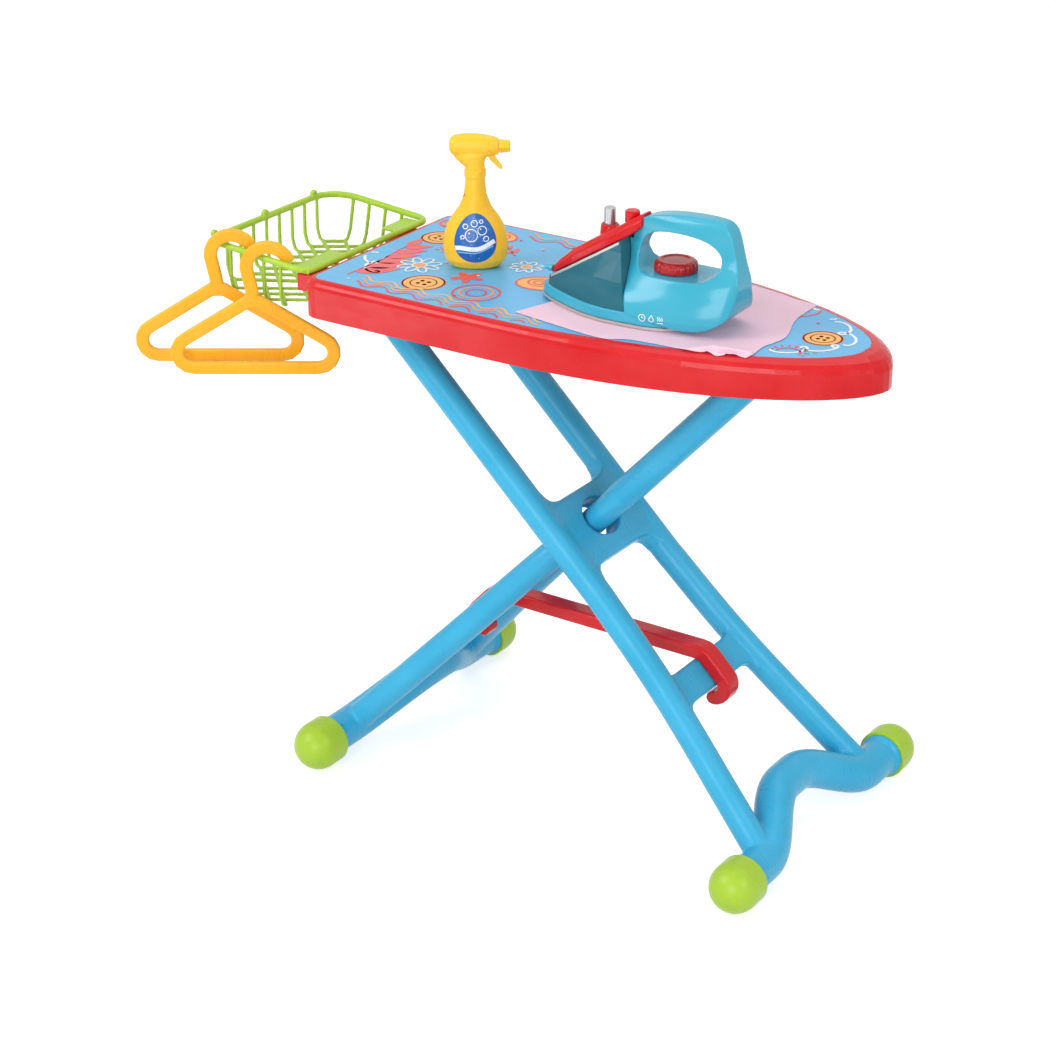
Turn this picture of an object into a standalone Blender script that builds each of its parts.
"""Toy ironing board on crossed legs, with its basket, hangers, iron, spray bottle and cloth.

X runs along the board with the round nose at +X, Y runs across it, and Z is up from the floor.
Every size is a named length in metres. The model is built with the square end of the board at X = 0,
and then moved so that the world origin is on the floor under the middle of its bounding box.
"""
import math

import bmesh
import bpy
from mathutils import Matrix, Vector

MM = 0.001

# Gaps
SEAT_GAP = 0.3 * MM            # between pieces that rest on or are fixed to each other
RUN_GAP = 0.4 * MM             # between pieces that turn or slide
OVERRUN = 2.0 * MM             # how far a cutter runs past the face it cuts

# Board
BOARD_LENGTH = 600.0 * MM
BOARD_WIDTH = 268.0 * MM
BOARD_TOP = 541.8 * MM         # height of the ironing surface above the floor
BOARD_SKIRT = 40.0 * MM
BOARD_WALL = 3.5 * MM
BOARD_DECK = 4.0 * MM
BOARD_CORNER = 20.0 * MM
BOARD_LIP = 1.2 * MM           # flat rim round the printed cover
COVER_THICK = 1.0 * MM
BOARD_NOSE_LIFT = 4.0 * MM     # how much less deep the skirt is at the nose
ROLL_TAIL_WIDTH = 8.5 * MM     # rounded edge at the square end
ROLL_TAIL_DROP = 9.0 * MM
ROLL_SIDE_WIDTH = 13.0 * MM    # rounded edge along the tapered sides
ROLL_SIDE_DROP = 11.5 * MM
ROLL_NOSE_WIDTH = 27.0 * MM    # rounded edge at the tip of the nose
ROLL_NOSE_DROP = 16.0 * MM
TAPER_START_SHARE = 0.383
TAPER_POWER_SHARE = 1.97
NOSE_ROUND_SHARE = 1.786

# Legs
HUB_SHARE = 0.4558             # of the board's length
HUB_Z = 289.7 * MM
FOOT_A_SHARE = 0.9117
FOOT_B_SHARE = 0.0515
FOOT_Y = 168.0 * MM            # middle of each foot cap's dome
FOOT_RADIUS = 26.3 * MM
FOOT_TUBE_RADIUS = 20.0 * MM
FOOT_COLLAR_RADIUS = 24.0 * MM
FOOT_COLLAR_LENGTH = 4.0 * MM
CAP_SKIRT = 19.0 * MM          # straight part of a foot cap
CAP_WALL = 3.0 * MM
RAIL_RADIUS = 14.6 * MM
RAIL_Y = 66.5 * MM
RAIL_B_Y = 47.0 * MM           # leg frame B's rails at its crossbar
RAIL_FOOT_Y = 106.0 * MM
SPLAY_START_SHARE = 0.18
ARCH_RISE = 47.0 * MM
ARCH_FLAT = 12.0 * MM
ARCH_END = 112.0 * MM
HUB_ABOVE = 36.5 * MM
HUB_BELOW = 42.0 * MM
HUB_THICK = 26.0 * MM
HUB_HOLE_WIDTH = 53.0 * MM
HUB_HOLE_HEIGHT = 44.0 * MM
NECK_WIDTH = 45.0 * MM
NECK_THICK = 28.0 * MM
NECK_LENGTH = 54.0 * MM
UPPER_TUBE_RADIUS = 15.5 * MM
BAR_THICK = 12.0 * MM
BAR_LENGTH = 36.0 * MM
BAR_FROM_HUB = 195.0 * MM      # middle of leg frame A's lower crossbar, along the frame
PIN_DROP = 23.0 * MM           # hinge axles below the deck
AXLE_RADIUS = 4.0 * MM
HUB_PIN_RADIUS = 4.0 * MM
HUB_PIN_SEAT = 9.0 * MM

# Brackets under the deck
EAR_WIDTH = 10.0 * MM
EAR_LENGTH = 26.0 * MM
EAR_BELOW_PIN = 10.0 * MM
FLANGE_WIDTH = 16.0 * MM
FLANGE_THICK = 4.0 * MM
SHOE_RADIUS = 7.0 * MM
SHOE_WIDTH = 8.0 * MM
CHANNEL_WALL = 3.0 * MM
CHANNEL_TRAVEL = 92.0 * MM
SCREW_RADIUS = 1.5 * MM
SCREW_HEAD_RADIUS = 3.4 * MM
SCREW_HEAD_THICK = 2.0 * MM
SCREW_BITE = 3.0 * MM

# Spreader hook
HOOK_THICK = 15.0 * MM
HOOK_WIDTH = 22.0 * MM
HOOK_GAP = 0.4 * MM
HOOK_LIP_DROP = 3.5 * MM
HOOK_WRAP = math.radians(88.0)

# Basket
BASKET_LENGTH = 136.0 * MM     # along X
BASKET_WIDTH = 219.0 * MM      # along Y
BASKET_DEPTH = 54.5 * MM
BASKET_GAP = 1.5 * MM          # between the rim and the board's end
BASKET_Y = -9.0 * MM           # its middle
BASKET_TOP = 544.5 * MM        # top of the rim beside the board
BASKET_TILT = math.radians(5.3)
BASKET_OUTER_CORNER = 34.0 * MM        # far from the board and from the hangers
BASKET_INNER_CORNER = 12.0 * MM
BASKET_NEAR_OUTER_CORNER = 20.0 * MM
BASKET_NEAR_INNER_CORNER = 16.0 * MM
BASKET_INSET = 12.0 * MM       # how far the bottom is drawn in
RIM_RADIUS = 3.4 * MM
RIB_RADIUS = 2.1 * MM
RIB_PITCH = 22.0 * MM
RIB_ROWS = 4                   # ribs each way from the middle of a long side
LATTICE_WIDTH = 3.6 * MM
LATTICE_THICK = 3.0 * MM
LUG_RADIUS = 4.0 * MM
LUG_THICK = 4.5 * MM
LUG_PITCH = 84.5 * MM
LUG_MIDDLE_Y = -22.0 * MM
PLATE_LENGTH = 26.0 * MM
PLATE_NEAR_WIDTH = 70.0 * MM
PLATE_FAR_WIDTH = 42.0 * MM
PLATE_THICK = 3.0 * MM
BRACKET_REACH = 20.0 * MM
BRACKET_WIDTH = 32.0 * MM
BRACKET_NEAR_Y = -96.0 * MM
BRACKET_FAR_Y = 60.0 * MM
BRACKET_HEIGHT = 19.0 * MM
BRACKET_INSIDE = 20.0 * MM
BRACKET_ARM = 12.0 * MM

# Hangers
HANGER_WIDTH = 178.0 * MM
HANGER_BAND = 13.5 * MM
HANGER_THICK = 6.0 * MM
HANGER_HOOK_RADIUS = 22.6 * MM
HANGER_HOOK_SIDE = 16.5 * MM   # hook centre from the hanger's middle line
HANGER_SHOULDER_DROP = 30.0 * MM
HANGER_RIDE = 3.1 * MM         # the hook rides this much higher, because it crosses the rim at a slant
HANGER_APEX_DROP = 33.0 * MM   # from the hook's centre down to the top of the shoulders
HANGER_HEIGHT = 110.0 * MM     # from the hook's centre down to the bottom bar's middle
HANGER_TURN = math.radians(33.7)
HANGER_FRONT_X = 55.6 * MM     # from the board's end
HANGER_SPACING = 47.7 * MM

# Cloth
CLOTH_THICK = 1.2 * MM
CLOTH_X = 368.0 * MM
CLOTH_Y = -9.0 * MM
CLOTH_LENGTH = 256.0 * MM
CLOTH_WIDTH = 200.0 * MM
CLOTH_FOLD = 2.6 * MM          # height of the folds
CLOTH_FREE = 34.0 * MM         # how far from the sole the folds reach their full height
CLOTH_RING_SHARES = (1.0, 0.86, 0.7, 0.5, 0.25)
# Direction, pitch, height share and start of each set of folds
CLOTH_FOLDS = ((math.radians(20.0), 61.0 * MM, 0.6, 0.1), (math.radians(-50.0), 83.0 * MM, 0.4, 0.35))

# Iron
IRON_X = 233.6 * MM            # tip of the sole
IRON_Y = -36.2 * MM
IRON_TURN = math.radians(2.0)
IRON_LENGTH = 226.0 * MM
IRON_HEIGHT = 109.0 * MM
HEEL_REACH = 42.0 * MM         # how far the heel stands out behind the sole
SOLE_WIDTH = 92.0 * MM
SOLE_THICK = 3.4 * MM
BASE_TOP = 14.0 * MM
TANK_BACK_SHARE = 0.4292       # of the iron's length, from the tip
TANK_WALL = 2.0 * MM
NOSE_COVER_THICK = 15.0 * MM
POST_RADIUS = 5.7 * MM
POST_BOSS_RADIUS = 8.6 * MM
POST_SHARE = 0.3319
POST_TOP = 101.0 * MM
BOSS_TOP = 84.5 * MM
BUTTON_RADIUS = 7.4 * MM
BUTTON_SHARE = 0.4425
BUTTON_TOP = 102.0 * MM
DIAL_RADIUS = 21.5 * MM
DIAL_THICK = 11.0 * MM
DIAL_SHARE = 0.6593
DIAL_SEAT = 50.0 * MM
DIAL_FLUTES = 18
SPRAY_TIP_RADIUS = 3.4 * MM
SPRAY_TIP_LENGTH = 9.0 * MM
PRESS_TRAVEL = 4.0 * MM

# Spray bottle
BOTTLE_X = 127.6 * MM
BOTTLE_Y = -2.5 * MM
BOTTLE_TURN = math.radians(33.7)
BOTTLE_WIDTH = 62.0 * MM
BOTTLE_DEPTH = 38.0 * MM
BOTTLE_BODY_HEIGHT = 95.0 * MM
BOTTLE_WALL = 1.6 * MM
NECK_RADIUS = 8.6 * MM
NECK_RISE = 6.0 * MM
COLLAR_RADIUS = 11.0 * MM
COLLAR_HEIGHT = 8.0 * MM
HEAD_LENGTH = 50.0 * MM
HEAD_HEIGHT = 37.0 * MM
HEAD_HALF_WIDTH = 9.0 * MM
NOZZLE_RADIUS = 7.2 * MM
NOZZLE_LENGTH = 11.5 * MM
TRIGGER_THICK = 4.5 * MM
TRIGGER_LENGTH = 24.0 * MM
TRIGGER_PIN_RADIUS = 1.5 * MM
LABEL_THICK = 0.5 * MM
TUBE_RADIUS = 1.6 * MM

# Places that follow from the sizes
DECK_FLOOR = BOARD_TOP - COVER_THICK - SEAT_GAP
DECK_UNDER = DECK_FLOOR - BOARD_DECK
BOARD_BOTTOM = BOARD_TOP - BOARD_SKIRT
PIN_Z = DECK_UNDER - PIN_DROP
HUB_X = BOARD_LENGTH * HUB_SHARE
FOOT_A_X = BOARD_LENGTH * FOOT_A_SHARE
FOOT_B_X = BOARD_LENGTH * FOOT_B_SHARE
HUB = Vector((HUB_X, 0, HUB_Z))
FOOT_A = Vector((FOOT_A_X, 0, FOOT_RADIUS))
FOOT_B = Vector((FOOT_B_X, 0, FOOT_RADIUS))
DOWN_A = (FOOT_A - HUB).normalized()
DOWN_B = (FOOT_B - HUB).normalized()
ABOVE_A = (PIN_Z - HUB_Z) / -DOWN_A.z
ABOVE_B = (PIN_Z - HUB_Z) / -DOWN_B.z
PIN_A = HUB - DOWN_A * ABOVE_A
PIN_B = HUB - DOWN_B * ABOVE_B
ACROSS = Vector((0, 1, 0))
RIM_Z = BASKET_TOP - RIM_RADIUS
EAR_INNER_Y = RAIL_Y + RAIL_RADIUS + 2 * RUN_GAP
SURFACE = BOARD_TOP + SEAT_GAP
SOLE_LENGTH = IRON_LENGTH - HEEL_REACH
TANK_BACK = IRON_LENGTH * TANK_BACK_SHARE
POST_ALONG = IRON_LENGTH * POST_SHARE
BUTTON_ALONG = IRON_LENGTH * BUTTON_SHARE
DIAL_ALONG = IRON_LENGTH * DIAL_SHARE


# Materials
def material(name, colour, roughness=0.3, metallic=0.0, alpha=1.0):
    made = bpy.data.materials.get(name)
    if made:
        return made
    made = bpy.data.materials.new(name)
    made.use_nodes = True
    shader = made.node_tree.nodes["Principled BSDF"]
    shader.inputs["Base Color"].default_value = (*colour, 1.0)
    shader.inputs["Roughness"].default_value = roughness
    shader.inputs["Metallic"].default_value = metallic
    shader.inputs["Alpha"].default_value = alpha
    made.diffuse_color = (*colour, alpha)
    made.roughness = roughness
    made.metallic = metallic
    return made


def red_plastic():
    return material("red_plastic", (0.74, 0.015, 0.02), 0.28)


def blue_plastic():
    return material("blue_plastic", (0.08, 0.50, 0.80), 0.34)


def green_plastic():
    return material("green_plastic", (0.42, 0.68, 0.04), 0.26)


def yellow_plastic():
    return material("yellow_plastic", (0.95, 0.50, 0.01), 0.3)


def bottle_plastic():
    return material("bottle_plastic", (0.95, 0.55, 0.02), 0.22)


def teal_plastic():
    return material("teal_plastic", (0.03, 0.45, 0.58), 0.25)


def tank_plastic():
    return material("tank_plastic", (0.01, 0.17, 0.22), 0.12)


def print_sheet():
    return material("print_sheet", (0.13, 0.45, 0.75), 0.4)


def label_film():
    return material("label_film", (0.01, 0.14, 0.45), 0.35)


def grey_plastic():
    return material("grey_plastic", (0.45, 0.45, 0.45), 0.35)


def silver_plastic():
    return material("silver_plastic", (0.55, 0.56, 0.58), 0.28, 0.7)


def white_plastic():
    return material("white_plastic", (0.8, 0.8, 0.78), 0.4)


def pink_cloth():
    return material("pink_cloth", (0.74, 0.45, 0.60), 0.85)


def screw_steel():
    return material("screw_steel", (0.5, 0.5, 0.5), 0.35, 0.9)


# Mesh helpers
def clear_scene():
    for thing in list(bpy.data.objects):
        bpy.data.objects.remove(thing, do_unlink=True)


def solid(name, bm, surface, smooth=True):
    """Makes an object of a mesh that is drawn in world places."""
    bmesh.ops.recalc_face_normals(bm, faces=bm.faces)
    mesh = bpy.data.meshes.new(name)
    bm.to_mesh(mesh)
    bm.free()
    thing = bpy.data.objects.new(name, mesh)
    bpy.context.scene.collection.objects.link(thing)
    mesh.materials.append(surface)
    if smooth:
        shade(thing)
    return thing


def shade(thing, angle=math.radians(38.0)):
    """Smooth shading with the hard edges kept."""
    mesh = thing.data
    for face in mesh.polygons:
        face.use_smooth = True
    bm = bmesh.new()
    bm.from_mesh(mesh)
    for edge in bm.edges:
        if len(edge.link_faces) == 2:
            edge.smooth = edge.calc_face_angle(0.0) < angle
    bm.to_mesh(mesh)
    bm.free()


def put_origin(thing, place):
    """Moves the object's origin to a place without moving its surface."""
    thing.data.transform(Matrix.Translation(-place))
    thing.location = place


def combine(base, operation, *others):
    """Joins or cuts with one exact boolean and keeps the result as the base's mesh."""
    group = bpy.data.collections.new("operands")
    for other in others:
        group.objects.link(other)
    modifier = base.modifiers.new("cut", "BOOLEAN")
    modifier.operation = operation
    modifier.solver = "EXACT"
    modifier.operand_type = "COLLECTION"
    modifier.collection = group
    bpy.context.view_layer.update()
    found = base.evaluated_get(bpy.context.evaluated_depsgraph_get())
    mesh = bpy.data.meshes.new_from_object(found)
    base.modifiers.clear()
    old = base.data
    base.data = mesh
    bpy.data.meshes.remove(old)
    mesh.name = base.name
    for other in others:
        bpy.data.objects.remove(other, do_unlink=True)
    bpy.data.collections.remove(group)
    bm = bmesh.new()
    bm.from_mesh(mesh)
    bmesh.ops.dissolve_degenerate(bm, dist=RUN_GAP / 100, edges=bm.edges)
    bm.to_mesh(mesh)
    bm.free()
    shade(base)
    return base


def loft(bm, rings, close=False):
    """Skins closed rings of points, with flat ends unless the last ring meets the first."""
    made = [[bm.verts.new(point) for point in ring] for ring in rings]
    pairs = list(zip(made, made[1:]))
    if close:
        pairs.append((made[-1], made[0]))
    for low, high in pairs:
        for index, vert in enumerate(low):
            after = (index + 1) % len(low)
            bm.faces.new((vert, low[after], high[after], high[index]))
    if not close:
        bm.faces.new(made[0])
        bm.faces.new(made[-1])
    return made


def box(name, low, high, surface=None):
    bm = bmesh.new()
    corners = [[(x, y, z) for x, y in ((low[0], low[1]), (high[0], low[1]), (high[0], high[1]),
                                       (low[0], high[1]))]
               for z in (low[2], high[2])]
    loft(bm, corners)
    return solid(name, bm, surface or screw_steel(), smooth=False)


def circle(centre, first, second, radius, count):
    return [centre + first * radius * math.cos(math.tau * i / count)
            + second * radius * math.sin(math.tau * i / count) for i in range(count)]


def cylinder(name, start, end, radius, surface=None, count=24):
    return sweep(name, [Vector(start), Vector(end)], radius, surface, count)


def frame_across(direction, hint):
    side = hint - direction * hint.dot(direction)
    side.normalize()
    return side, direction.cross(side)


def sweep(name, path, radius, surface=None, count=16, hint=None, closed=False):
    """A round or oval tube along a path. radius is one value, or (across hint, along hint) per point."""
    bm = bmesh.new()
    rings = []
    total = len(path)
    for index, point in enumerate(path):
        before = path[index - 1] if index or closed else point
        after = path[(index + 1) % total] if index < total - 1 or closed else point
        direction = (after - before).normalized()
        guide = hint or (ACROSS if abs(direction.y) < abs(math.cos(math.pi / 4)) else Vector((0, 0, 1)))
        side, normal = frame_across(direction, guide)
        size = radius[index] if isinstance(radius, list) else radius
        wide, thick = size if isinstance(size, tuple) else (size, size)
        rings.append([point + side * wide * math.cos(math.tau * (i + 0.5) / count)
                      + normal * thick * math.sin(math.tau * (i + 0.5) / count) for i in range(count)])
    loft(bm, rings, closed)
    return solid(name, bm, surface or screw_steel())


def extrude(name, outline, direction, surface=None, smooth=True):
    """A flat outline of points pushed along a direction."""
    bm = bmesh.new()
    loft(bm, [outline, [point + direction for point in outline]])
    return solid(name, bm, surface or screw_steel(), smooth)


def turned(name, profile, centre, axis, surface=None, count=32):
    """A body of revolution from (distance along the axis, radius) pairs."""
    side, normal = frame_across(axis, Vector((0, 0, 1)) if abs(axis.z) < math.cos(math.pi / 4) else ACROSS)
    bm = bmesh.new()
    loft(bm, [circle(centre + axis * along, side, normal, radius, count) for along, radius in profile])
    return solid(name, bm, surface or screw_steel())


def arc(centre, first, second, radius, start, end, steps):
    return [centre + first * radius * math.cos(start + (end - start) * i / steps)
            + second * radius * math.sin(start + (end - start) * i / steps) for i in range(steps + 1)]


def smooth_curve(points, per_span=6):
    """A curve through the points, as short straight runs."""
    made = []
    ends = [points[0] * 2 - points[1], *points, points[-1] * 2 - points[-2]]
    for a, b, c, d in zip(ends, ends[1:], ends[2:], ends[3:]):
        for step in range(per_span):
            t = step / per_span
            made.append((b * 2 + (c - a) * t + (a * 2 - b * 5 + c * 4 - d) * t * t
                         + (b * 3 - a - c * 3 + d) * t * t * t) / 2)
    made.append(points[-1])
    return made


def blend(low, high, share):
    share = min(max(share, 0), 1)
    return low + (high - low) * share * share * (3 - 2 * share)


# Board outline
def board_half_width(x):
    start = BOARD_LENGTH * TAPER_START_SHARE
    if x <= start:
        return BOARD_WIDTH / 2
    share = min((x - start) / (BOARD_LENGTH - start), 1)
    return BOARD_WIDTH / 2 * (1 - share ** TAPER_POWER_SHARE) ** (1 / NOSE_ROUND_SHARE)


def board_outline():
    """Half of the board's plan from the middle of the nose to the middle of the square end."""
    steps = 15
    start = BOARD_LENGTH * TAPER_START_SHARE
    points = []
    for i in range(steps):
        x = BOARD_LENGTH - (BOARD_LENGTH - start) * (i / steps) ** 2
        points.append(Vector((x, board_half_width(x), 0)))
    for i in range(2):
        points.append(Vector((start + (BOARD_CORNER - start) * i / 2, BOARD_WIDTH / 2, 0)))
    corner = Vector((BOARD_CORNER, BOARD_WIDTH / 2 - BOARD_CORNER, 0))
    points += arc(corner, Vector((0, 1, 0)), Vector((-1, 0, 0)), BOARD_CORNER, 0, math.pi / 2, 5)
    points.append(Vector((0, (BOARD_WIDTH / 2 - BOARD_CORNER) / 2, 0)))
    points.append(Vector((0, 0, 0)))
    mirror = [Vector((p.x, -p.y, 0)) for p in reversed(points[1:-1])]
    return points + mirror


def taper_share(x):
    start = BOARD_LENGTH * TAPER_START_SHARE
    return min(max((x - start) / (BOARD_LENGTH - start), 0), 1)


def board_ring(width_share, drop_share, extra=0, height=None):
    """The plan drawn in by a share of the rounded edge's width, at a share of its drop below the top."""
    outline = board_outline()
    count = len(outline)
    ring = []
    for i, point in enumerate(outline):
        along = (outline[(i + 1) % count] - outline[i - 1]).normalized()
        inward = Vector((-along.y, along.x, 0))
        side = min(2 * taper_share(point.x), 1)
        nose = max(-inward.x, 0) ** 3
        width = blend(ROLL_TAIL_WIDTH, ROLL_SIDE_WIDTH, side) + (ROLL_NOSE_WIDTH - ROLL_SIDE_WIDTH) * nose
        drop = blend(ROLL_TAIL_DROP, ROLL_SIDE_DROP, side) + (ROLL_NOSE_DROP - ROLL_SIDE_DROP) * nose
        place = point + inward * (width * width_share + extra)
        place.z = BOARD_TOP - drop * drop_share if height is None else height
        if height == BOARD_BOTTOM:
            place.z += BOARD_NOSE_LIFT * taper_share(point.x) ** 2
        ring.append(place)
    return ring


def board_shell():
    bm = bmesh.new()
    roll = [(1 - math.cos(math.pi / 2 * i / 4), 1 - math.sin(math.pi / 2 * i / 4)) for i in range(5)]
    rings = [board_ring(0, 0, BOARD_WALL, BOARD_BOTTOM), board_ring(0, 0, 0, BOARD_BOTTOM)]
    rings += [board_ring(width, drop, -BOARD_LIP * width) for width, drop in roll]
    rings += [board_ring(1, 0, 0), board_ring(1, 0, 0, DECK_FLOOR)]
    made = loft(bm, rings, close=False)
    bm.faces.ensure_lookup_table()
    first_cap = [face for face in bm.faces if set(face.verts) == set(made[0])]
    bmesh.ops.delete(bm, geom=first_cap, context="FACES_ONLY")
    under = [board_ring(0, 1, BOARD_WALL), board_ring(0.42, 1, BOARD_WALL, DECK_UNDER)]
    low = made[0]
    for ring in under:
        high = [bm.verts.new(point) for point in ring]
        for i, vert in enumerate(low):
            after = (i + 1) % len(low)
            bm.faces.new((vert, low[after], high[after], high[i]))
        low = high
    bm.faces.new(low)
    shell = solid("board_shell", bm, red_plastic())
    cutters = [cylinder("hole", place, place + Vector((0, 0, SCREW_BITE + SEAT_GAP + OVERRUN)),
                        SCREW_RADIUS + SEAT_GAP, count=8) for place in screw_places(-OVERRUN)]
    for middle in (BRACKET_NEAR_Y, BRACKET_FAR_Y):
        low_corner, high_corner = bracket_arm(middle)
        gap = Vector((SEAT_GAP, SEAT_GAP, SEAT_GAP))
        low_corner.x = -OVERRUN
        high_corner.x = BOARD_WALL + OVERRUN
        cutters.append(box("slot", low_corner - gap, high_corner + gap))
    return combine(shell, "DIFFERENCE", *cutters)


def board_cover():
    bm = bmesh.new()
    bottom = DECK_FLOOR + SEAT_GAP
    loft(bm, [board_ring(1, 0, SEAT_GAP, height) for height in (bottom, bottom + COVER_THICK)])
    return solid("board_cover", bm, print_sheet())


# Brackets, channels and screws under the deck
def ear_range(side):
    inner = EAR_INNER_Y * side
    outer = inner + EAR_WIDTH * side
    return inner, outer


def channel_span():
    high = PIN_B.x + SHOE_RADIUS + RUN_GAP
    return high - CHANNEL_TRAVEL - 2 * (SHOE_RADIUS + RUN_GAP), high


def channel_web_y():
    return UPPER_TUBE_RADIUS + 4 * RUN_GAP + SHOE_WIDTH + 2 * RUN_GAP


def flange_middles():
    """Where each bracket's screws go, as X, Y and the flange's thickness."""
    places = []
    for side, bracket_y in ((-1, BRACKET_NEAR_Y), (1, BRACKET_FAR_Y)):
        y = (EAR_INNER_Y + EAR_WIDTH + FLANGE_WIDTH * 0.55) * side
        for shift in (-1, 1):
            places.append((PIN_A.x + shift * EAR_LENGTH * 0.3, y, FLANGE_THICK))
        low, high = channel_span()
        y = (channel_web_y() + CHANNEL_WALL + FLANGE_WIDTH * 0.55) * side
        for share in (0.15, 0.85):
            places.append((low + (high - low) * share, y, FLANGE_THICK))
        places.append((BRACKET_INSIDE * 0.62, bracket_y, BRACKET_ARM))
    return places


def screw_places(shift=0):
    return [Vector((x, y, DECK_UNDER + shift)) for x, y, _ in flange_middles()]


def hinge_bracket(name, side):
    """An ear for the front frame's axle on a flange under the deck."""
    top = DECK_UNDER - SEAT_GAP
    inner, outer = ear_range(side)
    half = EAR_LENGTH / 2
    outline = [Vector((PIN_A.x + half, inner, top)), Vector((PIN_A.x - half, inner, top))]
    outline += arc(Vector((PIN_A.x, inner, PIN_Z)), Vector((-1, 0, 0)), Vector((0, 0, -1)), EAR_BELOW_PIN,
                   0, math.pi, 12)
    ear = extrude(name, outline, Vector((0, outer - inner, 0)), red_plastic())
    ends = sorted((inner + (outer - inner) / 2, outer + FLANGE_WIDTH * side))
    flange = box("flange", (PIN_A.x - half, ends[0], top - FLANGE_THICK), (PIN_A.x + half, ends[1], top))
    combine(ear, "UNION", flange)
    past = Vector((0, OVERRUN * side, 0))
    bore = cylinder("bore", Vector((PIN_A.x, inner, PIN_Z)) - past, Vector((PIN_A.x, outer, PIN_Z)) + past,
                    AXLE_RADIUS + RUN_GAP / 4, count=16)
    return combine(ear, "DIFFERENCE", bore, *screw_cutters(side, PIN_A.x))


def screw_cutters(side, near_x):
    """Clearance holes for the screws of one bracket."""
    made = []
    for x, y, thick in flange_middles():
        if y * side > 0 and abs(x - near_x) < CHANNEL_TRAVEL:
            low = Vector((x, y, DECK_UNDER - SEAT_GAP - thick - OVERRUN))
            high = Vector((x, y, DECK_UNDER + OVERRUN))
            made.append(cylinder("hole", low, high, SCREW_RADIUS + SEAT_GAP, count=8))
    return made


def slide_channel(name, side):
    """A rail under the deck, open towards the middle, that holds one sliding shoe."""
    top = DECK_UNDER - SEAT_GAP
    low, high = channel_span()
    web = channel_web_y()
    mouth = UPPER_TUBE_RADIUS + 3 * RUN_GAP
    hollow = SHOE_RADIUS + RUN_GAP
    section = [(mouth, PIN_Z - hollow - CHANNEL_WALL), (web + CHANNEL_WALL, PIN_Z - hollow - CHANNEL_WALL),
               (web + CHANNEL_WALL, top - FLANGE_THICK), (web + CHANNEL_WALL + FLANGE_WIDTH,
                                                          top - FLANGE_THICK),
               (web + CHANNEL_WALL + FLANGE_WIDTH, top), (web, top), (web, PIN_Z + hollow + CHANNEL_WALL),
               (mouth, PIN_Z + hollow + CHANNEL_WALL), (mouth, PIN_Z + hollow), (web, PIN_Z + hollow),
               (web, PIN_Z - hollow), (mouth, PIN_Z - hollow)]
    outline = [Vector((low - CHANNEL_WALL, y * side, z)) for y, z in section]
    rail = extrude(name, outline, Vector((high - low + 2 * CHANNEL_WALL, 0, 0)), red_plastic(), smooth=False)
    ends = sorted((mouth * side, (web + CHANNEL_WALL / 2) * side))
    stops = [box("stop", (x, ends[0], PIN_Z - hollow - CHANNEL_WALL / 2),
                 (x + CHANNEL_WALL, ends[1],
                  PIN_Z + hollow + CHANNEL_WALL / 2)) for x in (low - CHANNEL_WALL, high)]
    combine(rail, "UNION", *stops)
    return combine(rail, "DIFFERENCE", *screw_cutters(side, (low + high) / 2))


def bracket_arm(middle):
    """The part of a basket bracket that goes through the board's end wall, as two corners."""
    top = DECK_UNDER - SEAT_GAP
    low = Vector((-BRACKET_REACH, middle - BRACKET_WIDTH / 2, top - BRACKET_ARM))
    return low, Vector((BRACKET_INSIDE, middle + BRACKET_WIDTH / 2, top - FLANGE_THICK))


def basket_bracket(name, middle):
    """A tab that stands out of the board's end and carries one plate of the basket."""
    low, high = bracket_arm(middle)
    arm = box(name, low, high, red_plastic())
    top = RIM_Z - RIM_RADIUS - SEAT_GAP
    outside = box("block", (low.x, low.y, top - BRACKET_HEIGHT), (-SEAT_GAP, high.y, top))
    foot = box("foot", (BOARD_WALL + SEAT_GAP + ROLL_TAIL_WIDTH / 2, low.y, low.z),
               (high.x + SCREW_HEAD_RADIUS, high.y, DECK_UNDER - SEAT_GAP))
    combine(arm, "UNION", outside, foot)
    cutters = []
    for x, y, thick in flange_middles():
        if thick == BRACKET_ARM and y == middle:
            cutters.append(cylinder("hole", (x, y, low.z - OVERRUN), (x, y, DECK_UNDER + OVERRUN),
                                    SCREW_RADIUS + SEAT_GAP, count=8))
    return combine(arm, "DIFFERENCE", *cutters)


def screws():
    for index, (x, y, thick) in enumerate(flange_middles()):
        seat = DECK_UNDER - SEAT_GAP - thick
        profile = [(-SEAT_GAP - SCREW_HEAD_THICK, SCREW_HEAD_RADIUS * 0.7),
                   (-SEAT_GAP - SCREW_HEAD_THICK / 2, SCREW_HEAD_RADIUS),
                   (-SEAT_GAP, SCREW_HEAD_RADIUS), (-SEAT_GAP, SCREW_RADIUS),
                   (thick + SEAT_GAP + SCREW_BITE, SCREW_RADIUS)]
        turned(f"deck_screw_{index + 1}", profile, Vector((x, y, seat)), Vector((0, 0, 1)), screw_steel(), 8)


# Leg frames
FOOT_COLLAR_Y = FOOT_Y - CAP_SKIRT - SEAT_GAP


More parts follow.
